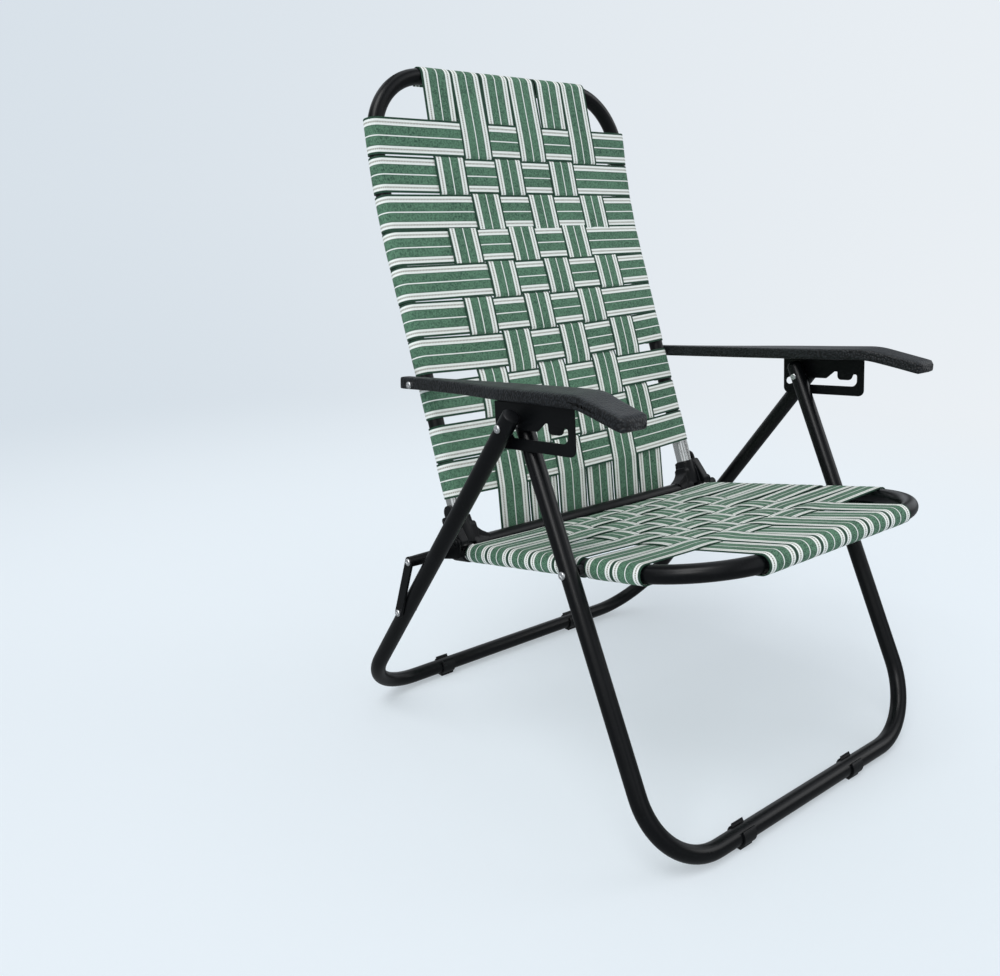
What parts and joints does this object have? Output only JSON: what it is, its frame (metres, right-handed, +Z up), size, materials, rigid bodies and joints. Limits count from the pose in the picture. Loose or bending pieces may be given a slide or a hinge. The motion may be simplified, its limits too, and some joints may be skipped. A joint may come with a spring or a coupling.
{
  "type": "folding webbed lawn chair",
  "caption": "High-backed folding chair with a tube frame, woven webbing strips on seat and back, moulded arm rests on slotted plates and U-shaped legs.",
  "frame": {"origin": "middle of the bottom face of the box of the open chair, at floor level", "axes": "+Z up, -Y towards the front of the chair, +X across it to the side at the right in a front view"},
  "size_m": [0.7384, 0.767, 1.054],
  "materials": {
    "black_tube": "satin black enamel",
    "black_sheet": "satin black enamel on stamped sheet",
    "black_plastic": "pebbled black",
    "chrome": "bright",
    "zinc": "zinc plated",
    "webbing": "woven strip in green and white stripes"
  },
  "bodies": {
    "front_leg": {"front_leg_tube": "black_tube", "front_foot_clip_left": "black_plastic", "front_foot_clip_right": "black_plastic", "common_pin_left": "zinc", "common_pin_right": "zinc", "seat_pivot_bolt_left": "zinc", "seat_pivot_bolt_right": "zinc"},
    "rear_leg": {"rear_leg_tube": "black_tube", "rear_foot_clip_left": "black_plastic", "rear_foot_clip_right": "black_plastic", "rear_leg_plug_left": "black_plastic", "rear_leg_plug_right": "black_plastic", "link_pivot_bolt_left": "zinc", "link_pivot_bolt_right": "zinc"},
    "seat": {"seat_tube": "black_tube", "seat_rear_bar": "black_tube", "seat_end_fitting_left": "black_sheet", "seat_end_fitting_right": "black_sheet", "seat_cross_web_1": "webbing", "seat_cross_web_2": "webbing", "seat_cross_web_3": "webbing", "seat_cross_web_4": "webbing", "seat_cross_web_5": "webbing", "seat_cross_web_6": "webbing", "seat_cross_web_7": "webbing", "seat_long_web_1": "webbing", "seat_long_web_2": "webbing", "seat_long_web_3": "webbing", "seat_long_web_4": "webbing", "seat_long_web_5": "webbing", "seat_long_web_6": "webbing"},
    "back": {"back_tube": "black_tube", "back_foot_bar": "black_tube", "hinge_casting_left": "black_plastic", "hinge_casting_right": "black_plastic", "back_sleeve_left": "chrome", "back_sleeve_right": "chrome", "back_cross_web_1": "webbing", "back_cross_web_2": "webbing", "back_cross_web_3": "webbing", "back_cross_web_4": "webbing", "back_cross_web_5": "webbing", "back_cross_web_6": "webbing", "back_cross_web_7": "webbing", "back_cross_web_8": "webbing", "back_cross_web_9": "webbing", "back_cross_web_10": "webbing", "back_long_web_1": "webbing", "back_long_web_2": "webbing", "back_long_web_3": "webbing", "back_long_web_4": "webbing", "back_long_web_5": "webbing", "back_long_web_6": "webbing"},
    "arm_left": {"arm_pad_left": "black_plastic", "arm_plate_left": "black_sheet"},
    "arm_right": {"arm_pad_right": "black_plastic", "arm_plate_right": "black_sheet"},
    "link_left": {"fold_link_left": "black_sheet"},
    "link_right": {"fold_link_right": "black_sheet"}
  },
  "joints": [
    {"name": "fold", "type": "hinge", "parent": "front_leg", "child": "seat", "pos_m": [0, -0.16687, 0.3815], "axis": [-1, 0, 0], "range_deg": [0, 84]},
    {"name": "rear_leg_swing", "type": "hinge", "parent": "front_leg", "child": "rear_leg", "pos_m": [0, -0.06976, 0.565], "axis": [-1, 0, 0], "range_deg": [0, 53.7]},
    {"name": "back_fold", "type": "hinge", "parent": "seat", "child": "back", "pos_m": [0, 0.09618, 0.345], "axis": [-1, 0, 0], "range_deg": [-71.7, 0]},
    {"name": "link_swing_left", "type": "hinge", "parent": "rear_leg", "child": "link_left", "pos_m": [0, 0.16204, 0.22379], "axis": [-1, 0, 0], "range_deg": [0, 139.6]},
    {"name": "arm_swing_left", "type": "hinge", "parent": "back", "child": "arm_left", "pos_m": [0, 0.21716, 0.572], "axis": [-1, 0, 0], "range_deg": [0, 68.7]},
    {"name": "link_swing_right", "type": "hinge", "parent": "rear_leg", "child": "link_right", "pos_m": [0, 0.16204, 0.22379], "axis": [-1, 0, 0], "range_deg": [0, 139.6]},
    {"name": "arm_swing_right", "type": "hinge", "parent": "back", "child": "arm_right", "pos_m": [0, 0.21716, 0.572], "axis": [-1, 0, 0], "range_deg": [0, 68.7]}
  ],
  "couplings": [
    {"joint": "rear_leg_swing", "follows": "fold", "ratio": 0.6373},
    {"joint": "back_fold", "follows": "fold", "ratio": -0.852},
    {"joint": "link_swing_left", "follows": "fold", "ratio": 1.6598},
    {"joint": "arm_swing_left", "follows": "fold", "ratio": 0.816},
    {"joint": "link_swing_right", "follows": "fold", "ratio": 1.6598},
    {"joint": "arm_swing_right", "follows": "fold", "ratio": 0.816}
  ]
}
